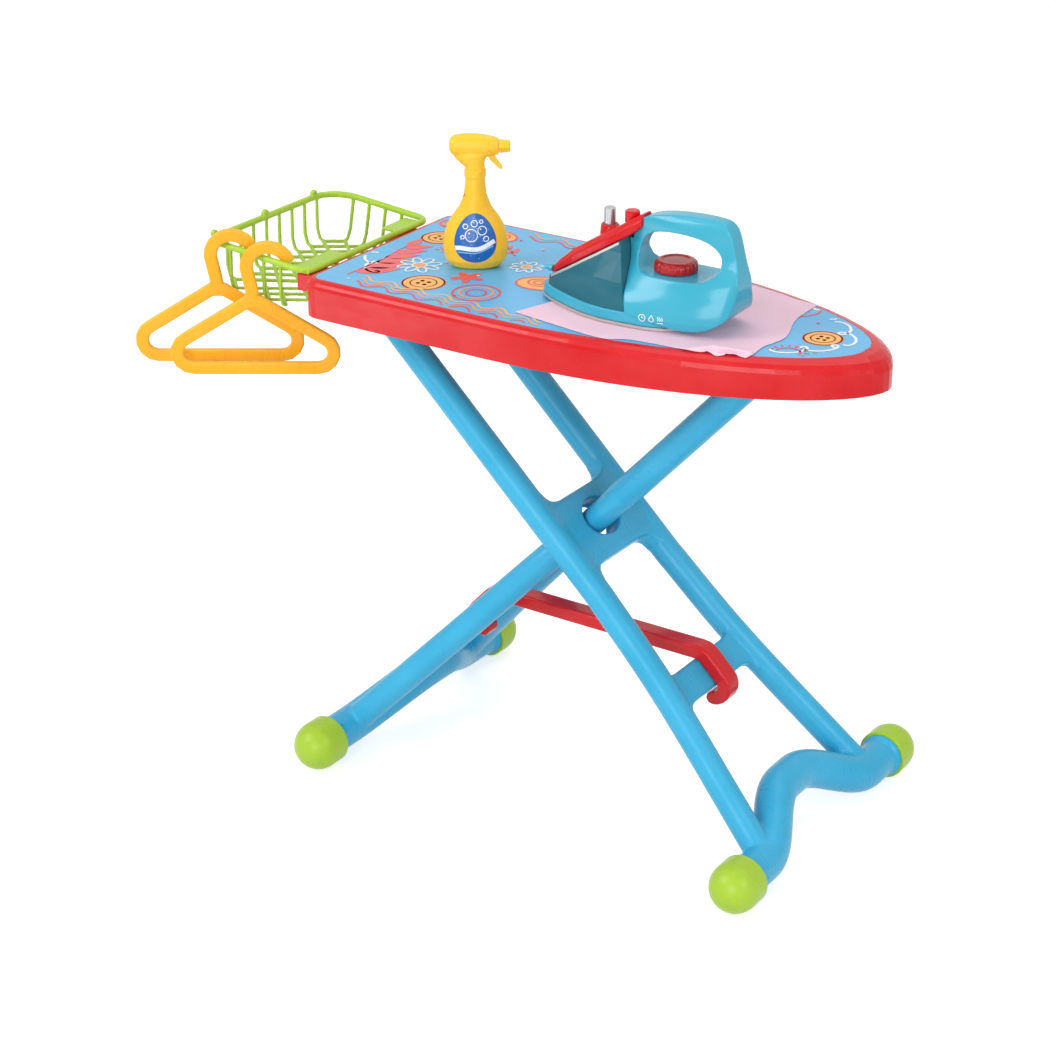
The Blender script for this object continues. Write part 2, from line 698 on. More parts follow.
def foot_tube(down, reach):
    """The arched tube with a collar and a spigot at each end."""
    steps = 6
    rows = []
    for i in range(-steps, steps + 1):
        y = (FOOT_COLLAR_Y - FOOT_COLLAR_LENGTH * 1.5) * i / steps
        share = (abs(y) - ARCH_FLAT) / (ARCH_END - ARCH_FLAT)
        rows.append((y, reach - ARCH_RISE + blend(0, ARCH_RISE, share), FOOT_TUBE_RADIUS))
    ease = FOOT_COLLAR_LENGTH / 5
    spigot = FOOT_RADIUS - CAP_WALL - SEAT_GAP
    collar = [(-FOOT_COLLAR_LENGTH, FOOT_TUBE_RADIUS), (-FOOT_COLLAR_LENGTH, FOOT_COLLAR_RADIUS - ease),
              (-FOOT_COLLAR_LENGTH + ease, FOOT_COLLAR_RADIUS), (-ease, FOOT_COLLAR_RADIUS),
              (0, FOOT_COLLAR_RADIUS - ease), (0, spigot), (CAP_SKIRT, spigot)]
    ends = [(FOOT_COLLAR_Y + shift, reach, radius) for shift, radius in collar]
    rows = [(-y, along, radius) for y, along, radius in reversed(ends)] + rows + ends
    path = [HUB + down * along + ACROSS * y for y, along, _ in rows]
    return sweep("arch", path, [radius for _, _, radius in rows], count=16, hint=down)


def round_end(top, down, radius):
    """Stations of a round end above a tube's top, as places and radii."""
    angles = (1.25, 0.7, 0)
    return [(top - down * radius * math.sin(angle), radius * math.cos(angle)) for angle in angles]


def rail_path(down, top, reach, side, start_y, middle_y=RAIL_Y):
    """Middle line of one rail, from a distance along the frame down to the arched tube."""
    splay = reach * SPLAY_START_SHARE
    bend = reach * 0.5
    foot = reach - ARCH_RISE * 0.3
    points = [(top, start_y)]
    if start_y < middle_y:
        points += [(top + (splay - top) * 0.5, blend(start_y, middle_y, 0.5)),
                   (splay * 1.5, blend(start_y, middle_y, 0.84))]
    points += [(bend, middle_y + (RAIL_FOOT_Y - middle_y) * 0.24), (foot, RAIL_FOOT_Y)]
    return smooth_curve([HUB + down * along + ACROSS * y * side for along, y in points], 3)


def crossbar(down, middle, half_width):
    """A flat lower crossbar with round edges, in the frame's plane."""
    normal = down.cross(ACROSS).normalized()
    radius = BAR_THICK / 2
    flat = BAR_LENGTH / 2 - radius
    centre = HUB + down * middle - ACROSS * half_width
    outline = arc(centre + down * flat, normal, down, radius, 0, math.pi, 8)
    outline += arc(centre - down * flat, -normal, -down, radius, 0, math.pi, 8)
    return extrude("bar", outline, ACROSS * half_width * 2)


def bar_middle_b():
    """Leg frame B's crossbar lies at the height of leg frame A's."""
    return BAR_FROM_HUB * DOWN_A.z / DOWN_B.z


def oval_ring(centre, down, half_wide, half_high, count=24):
    return [centre + ACROSS * half_wide * math.cos(math.tau * i / count)
            + down * half_high * math.sin(math.tau * i / count) for i in range(count)]


def leg_a_frame():
    down = DOWN_A
    normal = down.cross(ACROSS).normalized()
    reach = (FOOT_A - HUB).length
    rails = []
    for side in (-1, 1):
        rows = round_end(HUB - down * ABOVE_A + ACROSS * RAIL_Y * side, down, RAIL_RADIUS)
        path = [place for place, _ in rows] + rail_path(down, reach * SPLAY_START_SHARE, reach, side, RAIL_Y)
        radii = [radius for _, radius in rows]
        radii += [RAIL_RADIUS] * (len(path) - len(radii))
        rails.append(sweep("leg_a_frame", path, radii, count=12, hint=ACROSS))
    thick = HUB_THICK / 2
    corner = thick * 0.45
    rows = [(-HUB_ABOVE, corner - thick), (corner * 0.3 - HUB_ABOVE, corner * 0.3 - thick),
            (corner - HUB_ABOVE, -thick),
            (HUB_BELOW - corner, -thick), (HUB_BELOW - corner * 0.3, corner * 0.3 - thick),
            (HUB_BELOW, corner - thick)]
    rows += [(along, -across) for along, across in reversed(rows)]
    plate = extrude("hub", [HUB + down * along + normal * across - ACROSS * RAIL_Y for along, across in rows],
                    ACROSS * RAIL_Y * 2)
    bar = crossbar(down, BAR_FROM_HUB, RAIL_Y + RAIL_RADIUS)
    frame = combine(rails[0], "UNION", rails[1], plate, bar, foot_tube(down, reach))
    bm = bmesh.new()
    past = normal * (thick + OVERRUN)
    loft(bm, [oval_ring(HUB - past, down, HUB_HOLE_WIDTH / 2, HUB_HOLE_HEIGHT / 2),
              oval_ring(HUB + past, down, HUB_HOLE_WIDTH / 2, HUB_HOLE_HEIGHT / 2)])
    hole = solid("hole", bm, blue_plastic())
    reach_y = EAR_INNER_Y + OVERRUN
    bore = cylinder("bore", PIN_A - ACROSS * reach_y, PIN_A + ACROSS * reach_y, AXLE_RADIUS + RUN_GAP / 4,
                    count=16)
    seat = HUB_HOLE_WIDTH / 2 + HUB_PIN_SEAT + SEAT_GAP
    pins = cylinder("pins", HUB - ACROSS * seat, HUB + ACROSS * seat, HUB_PIN_RADIUS + SEAT_GAP / 2, count=16)
    combine(frame, "DIFFERENCE", hole)
    combine(frame, "DIFFERENCE", bore)
    combine(frame, "DIFFERENCE", pins)
    paint(frame, blue_plastic())
    put_origin(frame, PIN_A)
    return frame


def paint(thing, surface):
    thing.data.materials.clear()
    thing.data.materials.append(surface)
    for face in thing.data.polygons:
        face.material_index = 0


def leg_b_frame():
    down = DOWN_B
    reach = (FOOT_B - HUB).length
    half = NECK_LENGTH / 2
    tube = (UPPER_TUBE_RADIUS, UPPER_TUBE_RADIUS)
    neck = (NECK_WIDTH / 2, NECK_THICK / 2)
    rows = [(place, (radius, radius)) for place, radius in round_end(PIN_B, down, UPPER_TUBE_RADIUS)]
    stations = [(-half * 2, tube), (-half * 1.5, tuple(blend(a, b, 0.5) for a, b in zip(tube, neck))),
                (-half, neck), (half, neck), (half * 1.5, (NECK_WIDTH * 0.56, NECK_THICK * 0.48))]
    rows += [(HUB + down * along, size) for along, size in stations]
    frame = sweep("leg_b_frame", [place for place, _ in rows], [size for _, size in rows], count=16,
                  hint=ACROSS)
    reach_y = UPPER_TUBE_RADIUS + OVERRUN
    bore = cylinder("bore", PIN_B - ACROSS * reach_y, PIN_B + ACROSS * reach_y, AXLE_RADIUS + RUN_GAP / 4,
                    count=16)
    combine(frame, "DIFFERENCE", bore)
    parts = [sweep("rail", rail_path(down, half, reach, side, NECK_WIDTH * 0.22, RAIL_B_Y),
                   RAIL_RADIUS * 0.995, count=12, hint=ACROSS)
             for side in (-1, 1)]
    bar = crossbar(down, bar_middle_b(), RAIL_B_Y + RAIL_RADIUS)
    combine(frame, "UNION", bar, foot_tube(down, reach), *parts)
    pins = cylinder("pins", HUB - ACROSS * NECK_WIDTH, HUB + ACROSS * NECK_WIDTH,
                    HUB_PIN_RADIUS + RUN_GAP / 4, count=16)
    combine(frame, "DIFFERENCE", pins)
    paint(frame, blue_plastic())
    put_origin(frame, HUB)
    return frame


def foot_cap(name, foot, side):
    """A hollow dome pushed on the end of a foot tube."""
    centre = foot + ACROSS * FOOT_Y * side
    sides = 12
    inner = (FOOT_RADIUS - CAP_WALL) / math.cos(math.pi / sides)
    outside = [(-CAP_SKIRT, FOOT_RADIUS - CAP_WALL / 4), (-CAP_SKIRT + CAP_WALL / 4, FOOT_RADIUS)]
    outside += [(FOOT_RADIUS * math.sin(a), FOOT_RADIUS * math.cos(a))
                for a in [math.pi / 2 * i / 5 for i in range(5)]]
    tip = FOOT_RADIUS * math.cos(math.pi / 24)
    cap = turned(name, outside + [(tip + CAP_WALL / 8, CAP_WALL / 2)], centre, ACROSS * side,
                 green_plastic(), 16)
    profile = [(-CAP_SKIRT - OVERRUN, inner), (CAP_WALL, inner)]
    hollow = turned("hollow", profile, centre, ACROSS * side, green_plastic(), sides)
    return combine(cap, "DIFFERENCE", hollow)


def axle(name, place, half_length):
    rod = cylinder(name, place - ACROSS * half_length, place + ACROSS * half_length, AXLE_RADIUS,
                   screw_steel(), 16)
    return rod


def slider_shoe(name, side):
    """A round shoe on the end of leg frame B's axle."""
    inner = UPPER_TUBE_RADIUS + 4 * RUN_GAP
    shoe = turned(name, [(0, SHOE_RADIUS), (SHOE_WIDTH, SHOE_RADIUS)],
                  PIN_B + ACROSS * inner * side, ACROSS * side, white_plastic(), 18)
    past = Vector((0, OVERRUN * side, 0))
    start = PIN_B + ACROSS * inner * side
    bore = cylinder("bore", start - past, start + ACROSS * SHOE_WIDTH * side + past,
                    AXLE_RADIUS + RUN_GAP / 4, count=16)
    return combine(shoe, "DIFFERENCE", bore)


def hub_pin(name, side):
    """A stub pin from the hub's wall into leg frame B's neck."""
    start = HUB + ACROSS * NECK_WIDTH * 0.2 * side
    end = HUB + ACROSS * (HUB_HOLE_WIDTH / 2 + HUB_PIN_SEAT) * side
    return cylinder(name, start, end, HUB_PIN_RADIUS, blue_plastic(), 16)


def bar_ends(down, middle):
    flat = BAR_LENGTH / 2 - BAR_THICK / 2
    return HUB + down * (middle - flat), HUB + down * (middle + flat)


def hook_side(down, middle, outward):
    """Middle line of one hooked end, from the top of the bar round to the tip of the lip."""
    upper, lower = bar_ends(down, middle)
    lower = lower + down * HOOK_LIP_DROP
    radius = BAR_THICK / 2 + HOOK_GAP + HOOK_THICK / 2
    face = math.atan2(abs(down.x), abs(down.z))
    right = Vector((outward, 0, 0))
    upright = Vector((0, 0, 1))
    path = arc(upper, right, upright, radius, math.pi / 2, math.pi / 2 - face, 3)
    return path + arc(lower, right, upright, radius, math.pi / 2 - face, -HOOK_WRAP, 7)


def spreader_hook():
    """The red strap that keeps the feet from spreading."""
    right = hook_side(DOWN_A, BAR_FROM_HUB, 1)
    left = hook_side(DOWN_B, bar_middle_b(), -1)
    middle = list(reversed(left)) + right
    outer, inner = [], []
    for i, point in enumerate(middle):
        before = middle[max(i - 1, 0)]
        after = middle[min(i + 1, len(middle) - 1)]
        along = (after - before).normalized()
        normal = Vector((-along.z, 0, along.x))
        outer.append(point + normal * HOOK_THICK / 2)
        inner.append(point - normal * HOOK_THICK / 2)
    start = Vector((middle[0].x, 0, middle[0].z))
    first = (middle[1] - middle[0]).normalized()
    last = (middle[-1] - middle[-2]).normalized()
    side = Vector((-first.z, 0, first.x))
    start_cap = arc(start, -side, -first, HOOK_THICK / 2, 0, math.pi, 4)[1:-1]
    side = Vector((-last.z, 0, last.x))
    end_cap = arc(middle[-1], side, last, HOOK_THICK / 2, 0, math.pi, 4)[1:-1]
    outline = outer + end_cap + list(reversed(inner)) + start_cap
    bm = bmesh.new()
    half = HOOK_WIDTH / 2
    loft(bm, [[point + ACROSS * y for point in outline] for y in (-half, half)])
    hook = solid("spreader_hook", bm, red_plastic())
    bevel = hook.modifiers.new("bevel", "BEVEL")
    bevel.width = HOOK_THICK / 10
    bevel.segments = 1
    bevel.limit_method = "ANGLE"
    bevel.angle_limit = math.radians(60.0)
    put_origin(hook, bar_ends(DOWN_A, BAR_FROM_HUB)[0])
    return hook


# Basket
def basket_ring(centre, half_x, half_y, inset, steps):
    """The basket's rounded rectangle round a middle, with its corners drawn in by an inset."""
    points = []
    corners = ((1, 1, 0, BASKET_INNER_CORNER), (-1, 1, 1, BASKET_OUTER_CORNER),
               (-1, -1, 2, BASKET_NEAR_OUTER_CORNER), (1, -1, 3, BASKET_NEAR_INNER_CORNER))
    for sign_x, sign_y, start, corner in corners:
        corner -= inset
        middle = centre + Vector((sign_x * (half_x - corner), sign_y * (half_y - corner), 0))
        points += arc(middle, Vector((1, 0, 0)), Vector((0, 1, 0)), corner,
                      start * math.pi / 2, (start + 1) * math.pi / 2, steps)
    return points


def tilt_basket(point):
    """A place on the level basket, turned up about the rim beside the board."""
    edge = Vector((-BASKET_GAP - RIM_RADIUS, 0, RIM_Z))
    return edge + Matrix.Rotation(BASKET_TILT, 3, "Y") @ (point - edge)


def basket():
    centre = Vector((-BASKET_GAP - BASKET_LENGTH / 2, BASKET_Y, RIM_Z))
    half_x = BASKET_LENGTH / 2 - RIM_RADIUS
    half_y = BASKET_WIDTH / 2 - RIM_RADIUS
    up = Vector((0, 0, 1))
    rim = sweep("basket", basket_ring(centre, half_x, half_y, 0, 5), RIM_RADIUS, green_plastic(), 9,
                hint=up, closed=True)
    low = centre - up * (BASKET_DEPTH - RIM_RADIUS - LATTICE_THICK / 2)
    floor_x = half_x - BASKET_INSET
    floor_y = half_y - BASKET_INSET
    parts = []
    drop = RIM_Z - low.z

    def rib(top, foot):
        inward = foot - top
        inward.z = 0
        rows = ((0, 0), (0.26, 0.74), (0.60, 0.95))
        path = [top + inward * across - up * drop * down for across, down in rows] + [foot]
        return sweep("rib", path, RIB_RADIUS, count=4, hint=up.cross(inward))

    long_rows = [(i + 0.5) * RIB_PITCH for i in range(-RIB_ROWS, RIB_ROWS)]
    clear = BRACKET_WIDTH / 2 + RIB_RADIUS + RUN_GAP
    for row in long_rows:
        y = centre.y + row
        blocked = min(abs(y - BRACKET_NEAR_Y), abs(y - BRACKET_FAR_Y)) < clear
        for side in (-1,) if blocked else (-1, 1):
            parts.append(rib(Vector((centre.x + half_x * side, y, RIM_Z)),
                             Vector((centre.x + floor_x * side, y, low.z))))
    short_rows = [floor_y - long_rows[-1] - floor_x + j * RIB_PITCH for j in range(RIB_ROWS)]
    for row in short_rows:
        for side in (-1, 1):
            parts.append(rib(Vector((centre.x + row, centre.y + half_y * side, RIM_Z)),
                             Vector((centre.x + row, centre.y + floor_y * side, low.z))))
    end = Vector((floor_x, long_rows[-1] + LATTICE_WIDTH / 2, 0))
    strips = [(end, Vector((end.x, -end.y, 0)), 0.42)]
    for turn, height in ((-1, 0.46), (1, 0.5)):
        outer = [Vector((-floor_x, row * turn, 0)) for row in long_rows]
        inner = [Vector((floor_x, row * turn, 0)) for row in long_rows]
        strips += [(outer[i], inner[i + RIB_ROWS], height) for i in range(RIB_ROWS)]
        for j, row in enumerate(short_rows):
            foot = Vector((row, floor_y * turn, 0))
            strips.append((outer[-1 - j], foot, height))
            if j + 1 < RIB_ROWS:
                strips.append((inner[RIB_ROWS + j], foot, height * 0.92))
    for start, stop, share in strips:
        along = (stop - start).normalized()
        wide = Vector((-along.y, along.x, 0)) * LATTICE_WIDTH / 2
        height = up * LATTICE_THICK * share
        corners = [low + start - wide, low + start + wide, low + stop + wide, low + stop - wide]
        parts.append(extrude("bar", [place - height for place in corners], height * 2, smooth=False))
    for i in (-1, 0, 1):
        place = Vector((centre.x - half_x, LUG_MIDDLE_Y + i * LUG_PITCH, BASKET_TOP + LUG_RADIUS * 0.3))
        parts.append(cylinder("lug", place - Vector((LUG_THICK / 2, 0, 0)),
                              place + Vector((LUG_THICK / 2, 0, 0)),
                              LUG_RADIUS, count=10))
    combine(rim, "UNION", *parts)
    for vert in rim.data.vertices:
        vert.co = tilt_basket(vert.co)
    plates = []
    right = centre.x + half_x
    ends = (centre.y - half_y + RIM_RADIUS, centre.y + half_y - BASKET_INNER_CORNER / 2)
    under = RIM_Z - RIM_RADIUS
    plates.append(box("plate", (right - PLATE_LENGTH, ends[0], under),
                      (right, ends[0] + PLATE_NEAR_WIDTH, under + PLATE_THICK)))
    plates.append(box("plate", (right - PLATE_LENGTH, ends[1] - PLATE_FAR_WIDTH, under),
                      (right, ends[1], under + PLATE_THICK)))
    combine(rim, "UNION", *plates)
    paint(rim, green_plastic())
    return rim


# Hangers
def hanger(name, rim_x):
    """A flat hanger: a rounded triangle with an open hook, hung over the basket's near rim."""
    rim_y = BASKET_Y - BASKET_WIDTH / 2 + RIM_RADIUS
    rim_top = tilt_basket(Vector((-rim_x, rim_y, BASKET_TOP))).z
    inner = HANGER_HOOK_RADIUS - HANGER_BAND / 2
    right = Vector((math.cos(HANGER_TURN), math.sin(HANGER_TURN), 0))
    up = Vector((0, 0, 1))
    centre = Vector((-rim_x, rim_y, rim_top + SEAT_GAP + HANGER_RIDE - inner))
    half = HANGER_WIDTH / 2 - HANGER_BAND / 2
    apex = centre - right * HANGER_HOOK_SIDE - up * HANGER_APEX_DROP
    bottom = centre - right * HANGER_HOOK_SIDE - up * HANGER_HEIGHT
    corner = (HANGER_HEIGHT - HANGER_APEX_DROP - HANGER_SHOULDER_DROP) * 0.36
    lean = math.atan2(HANGER_SHOULDER_DROP, half * 0.82)
    loop = []
    for side in (1, -1):
        out = right * side
        middle = bottom + out * (half - corner) + up * corner
        turn = arc(middle, out, up, corner, -math.pi / 2, math.pi / 2 - lean, 6)
        crown = apex - up * HANGER_BAND * 0.1 + out * HANGER_BAND * 0.5 - up * HANGER_BAND * 0.2
        run = turn + [crown]
        loop += run if side > 0 else list(reversed(run))
    normal = right.cross(up)
    size = (HANGER_THICK / 2, HANGER_BAND / 2)
    ring = band(name, loop, normal, size, yellow_plastic(), closed=True)
    start = apex - up * HANGER_BAND * 0.3
    hook = [start, start + up * HANGER_APEX_DROP * 0.45 - right * HANGER_BAND * 0.12]
    hook += arc(centre, right, up, HANGER_HOOK_RADIUS, math.pi, math.radians(16.0), 9)
    stem = band("hook", hook, normal, size, yellow_plastic())
    combine(ring, "UNION", stem)
    paint(ring, yellow_plastic())
    put_origin(ring, Vector((-rim_x, rim_y, rim_top)))
    return ring


def band(name, path, normal, size, surface, closed=False):
    """A flat strap with eased edges along a path in the plane square to the normal."""
    thick, wide = size
    ease = thick * 0.35
    section = [(-wide, -thick + ease), (-wide + ease, -thick), (wide - ease, -thick), (wide, -thick + ease),
               (wide, thick - ease), (wide - ease, thick), (-wide + ease, thick), (-wide, thick - ease)]
    bm = bmesh.new()
    rings = []
    total = len(path)
    for i, point in enumerate(path):
        before = path[i - 1] if i or closed else point
        after = path[(i + 1) % total] if i < total - 1 or closed else point
        first = (point - before)
        second = (after - point)
        along = (first.normalized() + second.normalized()).normalized()
        side = along.cross(normal)
        turn = first.angle(second, 0) if first.length and second.length else 0
        stretch = 1 / max(math.cos(turn / 2), 0.5)
        rings.append([point + side * a * stretch + normal * b for a, b in section])
    loft(bm, rings, closed)
    return solid(name, bm, surface)


# Cloth
CLOTH_SHARES = ((-0.50, -0.45), (-0.27, -0.50), (-0.07, -0.53), (0.03, -0.47), (0.22, -0.45), (0.39, -0.46),
                (0.50, -0.37), (0.48, -0.21), (0.50, -0.03), (0.44, 0.22), (0.43, 0.46), (0.33, 0.48),
                (0.22, 0.52), (0.07, 0.53), (-0.15, 0.42), (-0.31, 0.17), (-0.42, -0.14))


def cloth_lift(x, y):
    """Height of the cloth's folds over the board, none of it under the iron."""
    along = (x - IRON_X) * math.cos(IRON_TURN) + (y - IRON_Y) * math.sin(IRON_TURN)
    across = (y - IRON_Y) * math.cos(IRON_TURN) - (x - IRON_X) * math.sin(IRON_TURN)
    past_ends = max(-along, along - SOLE_LENGTH, 0)
    past_sides = max(abs(across) - SOLE_WIDTH / 2, 0)
    free = blend(0, 1, math.hypot(past_ends, past_sides) / CLOTH_FREE)
    wave = 0
    for turn, pitch, share, start in CLOTH_FOLDS:
        place = (x * math.cos(turn) + y * math.sin(turn)) / pitch + start
        wave += share * (1 + math.cos(math.tau * place)) / 2
    return CLOTH_FOLD * free * wave


def cloth():
    """The pink cloth, flat under the iron and in low folds round it."""
    points = [Vector((CLOTH_X + a * CLOTH_LENGTH, CLOTH_Y + b * CLOTH_WIDTH, 0)) for a, b in CLOTH_SHARES]
    outline = smooth_curve(points + points[:1], 2)[:-1]
    middle = Vector((CLOTH_X, CLOTH_Y, 0))
    bm = bmesh.new()
    layers = []
    for thick in (0, CLOTH_THICK):
        rings = []
        for share in CLOTH_RING_SHARES:
            ring = []
            for point in outline:
                place = middle + (point - middle) * share
                place.z = SURFACE + cloth_lift(place.x, place.y) + thick
                ring.append(bm.verts.new(place))
            rings.append(ring)
        centre = bm.verts.new((middle.x, middle.y, SURFACE + cloth_lift(middle.x, middle.y) + thick))
        for outer, inner in zip(rings, rings[1:]):
            for i, vert in enumerate(outer):
                after = (i + 1) % len(outer)
                bm.faces.new((vert, outer[after], inner[after], inner[i]))
        for i, vert in enumerate(rings[-1]):
            bm.faces.new((vert, rings[-1][(i + 1) % len(outline)], centre))
        layers.append(rings[0])
    for i, vert in enumerate(layers[0]):
        after = (i + 1) % len(outline)
        bm.faces.new((vert, layers[0][after], layers[1][after], layers[1][i]))
    return solid("cloth", bm, pink_cloth())


# Iron
def iron_matrix():
    place = Matrix.Translation((IRON_X, IRON_Y, SURFACE + CLOTH_THICK + SEAT_GAP))
    return place @ Matrix.Rotation(IRON_TURN, 4, "Z")


def iron_point(along, across, up):
    return iron_matrix() @ Vector((along, across, up))


SOLE_SHARES = ((0.0, 0.05), (0.03, 0.20), (0.09, 0.38), (0.18, 0.57), (0.28, 0.76), (0.38, 0.91), (0.50, 1.0),
               (0.64, 1.0), (0.76, 0.98), (0.86, 0.86), (0.93, 0.66), (0.98, 0.40), (1.0, 0.12))


def sole_ring(up, inset=0, length=SOLE_LENGTH, widths=SOLE_SHARES, scale=1):
    side = [(share * (length - 2 * inset) + inset, max(width * SOLE_WIDTH / 2 * scale - inset, TANK_WALL / 2))
            for share, width in widths]
    points = side + [(a, -b) for a, b in reversed(side)]
    return [iron_point(a, b, up) for a, b in points]


def soleplate():
    bm = bmesh.new()
    loft(bm, [sole_ring(0, SOLE_THICK / 4), sole_ring(SOLE_THICK / 4), sole_ring(SOLE_THICK)])
    return solid("iron_soleplate", bm, grey_plastic())


PLAN_SHARES = ((0.0, 0.03), (0.04, 0.22), (0.10, 0.42), (0.18, 0.62), (0.28, 0.82), (0.40, 0.96), (0.52, 1.0),
               (0.66, 0.98), (0.80, 0.88), (0.90, 0.76), (0.97, 0.58), (1.0, 0.30))
# Height share, half width share, how far the front is drawn back
BODY_LEVEL_SHARES = ((0.0, 0.96, 0.0), (0.10, 0.98, 0.0), (0.22, 0.90, 0.10), (0.34, 0.74, 0.26),
                     (0.44, 0.62, 0.34),
                     (0.54, 0.44, 0.38), (0.64, 0.33, 0.40), (0.80, 0.29, 0.40),
                     (0.92, 0.27, 0.40), (1.0, 0.16, 0.40))
PROFILE_SHARES = ((0.52, 0.13), (0.80, 0.036), (0.955, 0.15), (0.988, 0.38), (0.98, 0.58), (0.95, 0.83),
                  (0.925, 0.94), (0.885, 0.99), (0.77, 1.0), (0.63, 0.975), (0.52, 0.915), (0.43, 0.78))
OPENING_SHARES = ((0.484, 0.60), (0.495, 0.70), (0.53, 0.775), (0.60, 0.82), (0.70, 0.835), (0.80, 0.815),
                  (0.865, 0.765), (0.90, 0.69), (0.905, 0.61), (0.89, 0.53), (0.85, 0.475), (0.80, 0.455),
                  (0.56, 0.455), (0.50, 0.50))


def side_cutter(shares, low, high, name="side"):
    """A side profile given as shares of the iron's length and height, pushed across the iron."""
    outline = [iron_point(a * IRON_LENGTH, low, b * IRON_HEIGHT) for a, b in shares]
    across = iron_point(0, high, 0) - iron_point(0, low, 0)
    return extrude(name, outline, across)


def iron_envelope():
    """The iron's outside as seen from above, narrowing with height."""
    bm = bmesh.new()
    rings = []
    for height, width, back in BODY_LEVEL_SHARES:
        up = SOLE_THICK + SEAT_GAP + height * (IRON_HEIGHT - SOLE_THICK - SEAT_GAP)
        side = []
        for share, wide in PLAN_SHARES:
            along = IRON_LENGTH * (back + (1 - back) * share)
            side.append((along, wide * width * SOLE_WIDTH / 2))
        points = side + [(a, -b) for a, b in reversed(side)]
        rings.append([iron_point(a, b, up) for a, b in points])
    loft(bm, rings)
    return solid("envelope", bm, teal_plastic())


def iron_shell(name, side):
    """One half of the iron's body with half of the handle."""
    body = iron_envelope()
    body.name = name
    low, high = sorted((side * SEAT_GAP / 2, side * SOLE_WIDTH))
    combine(body, "INTERSECT", side_cutter(PROFILE_SHARES, low, high))
    base = bmesh.new()
    rings = []
    for up in (SOLE_THICK + SEAT_GAP, BASE_TOP):
        ring = sole_ring(up, TANK_WALL / 4 if up < BASE_TOP else TANK_WALL)
        rings.append(ring)
    loft(base, rings)
    band_part = solid("base", base, teal_plastic())
    corner_low = (-OVERRUN, low, 0)
    keep = extrude("keep", [iron_point(*corner_low), iron_point(IRON_LENGTH, low, 0),
                            iron_point(IRON_LENGTH, high, 0), iron_point(-OVERRUN, high, 0)],
                   Vector((0, 0, IRON_HEIGHT)))
    combine(band_part, "INTERSECT", keep)
    combine(body, "UNION", band_part)
    cutters = [side_cutter(OPENING_SHARES, -SOLE_WIDTH, SOLE_WIDTH, "opening")]
    seat = DIAL_SEAT - SEAT_GAP
    cutters.append(turned("well", [(0, DIAL_RADIUS + OVERRUN), (DIAL_THICK * 2, DIAL_RADIUS + OVERRUN)],
                          iron_point(DIAL_ALONG, 0, seat), Vector((0, 0, 1)), count=32))
    cutters.append(turned("spindle", [(-DIAL_THICK, AXLE_RADIUS + RUN_GAP), (OVERRUN, AXLE_RADIUS + RUN_GAP)],
                          iron_point(DIAL_ALONG, 0, seat), Vector((0, 0, 1)), count=20))
    cutters.append(button_well())
    cutters.append(cover_slab("slab", SEAT_GAP))
    combine(body, "DIFFERENCE", *cutters)
    paint(body, teal_plastic())
    return body


def button_well():
    return turned("well", [(-PRESS_TRAVEL - BUTTON_RADIUS * 2, BUTTON_RADIUS + RUN_GAP),
                           (OVERRUN, BUTTON_RADIUS + RUN_GAP)],
                  iron_point(BUTTON_ALONG, 0, BUTTON_TOP), Vector((0, 0, 1)), count=24)


# Along share, lower edge height share, half width share
COVER_SHARES = ((0.050, 0.212, 0.04), (0.10, 0.275, 0.18), (0.18, 0.375, 0.32), (0.28, 0.505, 0.42),
                (0.36, 0.605, 0.44), (0.43, 0.695, 0.40), (0.475, 0.76, 0.33), (0.515, 0.83, 0.22))
COVER_SHOULDER_SHARE = 0.62
COVER_CROWN_SHARE = 0.68


def cover_slab(name, grow=0):
    """The red cover's body along the sloping top of the tank."""
    bm = bmesh.new()
    rings = []
    for along, height, width in COVER_SHARES:
        a = along * IRON_LENGTH
        h = height * IRON_HEIGHT - grow
        w = width * SOLE_WIDTH / 2 + grow
        top = h + NOSE_COVER_THICK * min(0.35 + width * 2, 1) + 2 * grow
        shoulder = h + (top - h) * COVER_SHOULDER_SHARE
        crown = w * COVER_CROWN_SHARE
        rings.append([iron_point(a, -w, h), iron_point(a, w, h), iron_point(a, w, shoulder),
                      iron_point(a, crown, top), iron_point(a, -crown, top), iron_point(a, -w, shoulder)])
    loft(bm, rings)
    return solid(name, bm, red_plastic())


def nose_cover():
    slab = cover_slab("iron_nose_cover")
    up = Vector((0, 0, 1))
    boss = turned("boss", [(-IRON_HEIGHT * 0.14, POST_BOSS_RADIUS * 1.15), (0, POST_BOSS_RADIUS)],
                  iron_point(POST_ALONG, 0, BOSS_TOP), up, count=24)
    combine(slab, "UNION", boss)
    bore = turned("bore", [(-IRON_HEIGHT * 0.3, POST_RADIUS + RUN_GAP), (OVERRUN, POST_RADIUS + RUN_GAP)],
                  iron_point(POST_ALONG, 0, BOSS_TOP), up, count=24)
    filler = turned("filler", [(0, POST_RADIUS * 0.8), (NOSE_COVER_THICK * 2, POST_RADIUS * 1.1)],
                    iron_point(IRON_LENGTH * 0.2, 0, IRON_HEIGHT * 0.49), up, count=20)
    combine(slab, "DIFFERENCE", bore, filler, button_well())
    paint(slab, red_plastic())
    return slab


TANK_LEVEL_SHARES = ((0.0, 0.96, 0.03), (0.35, 0.80, 0.05), (0.7, 0.56, 0.12), (1.0, 0.40, 0.2))


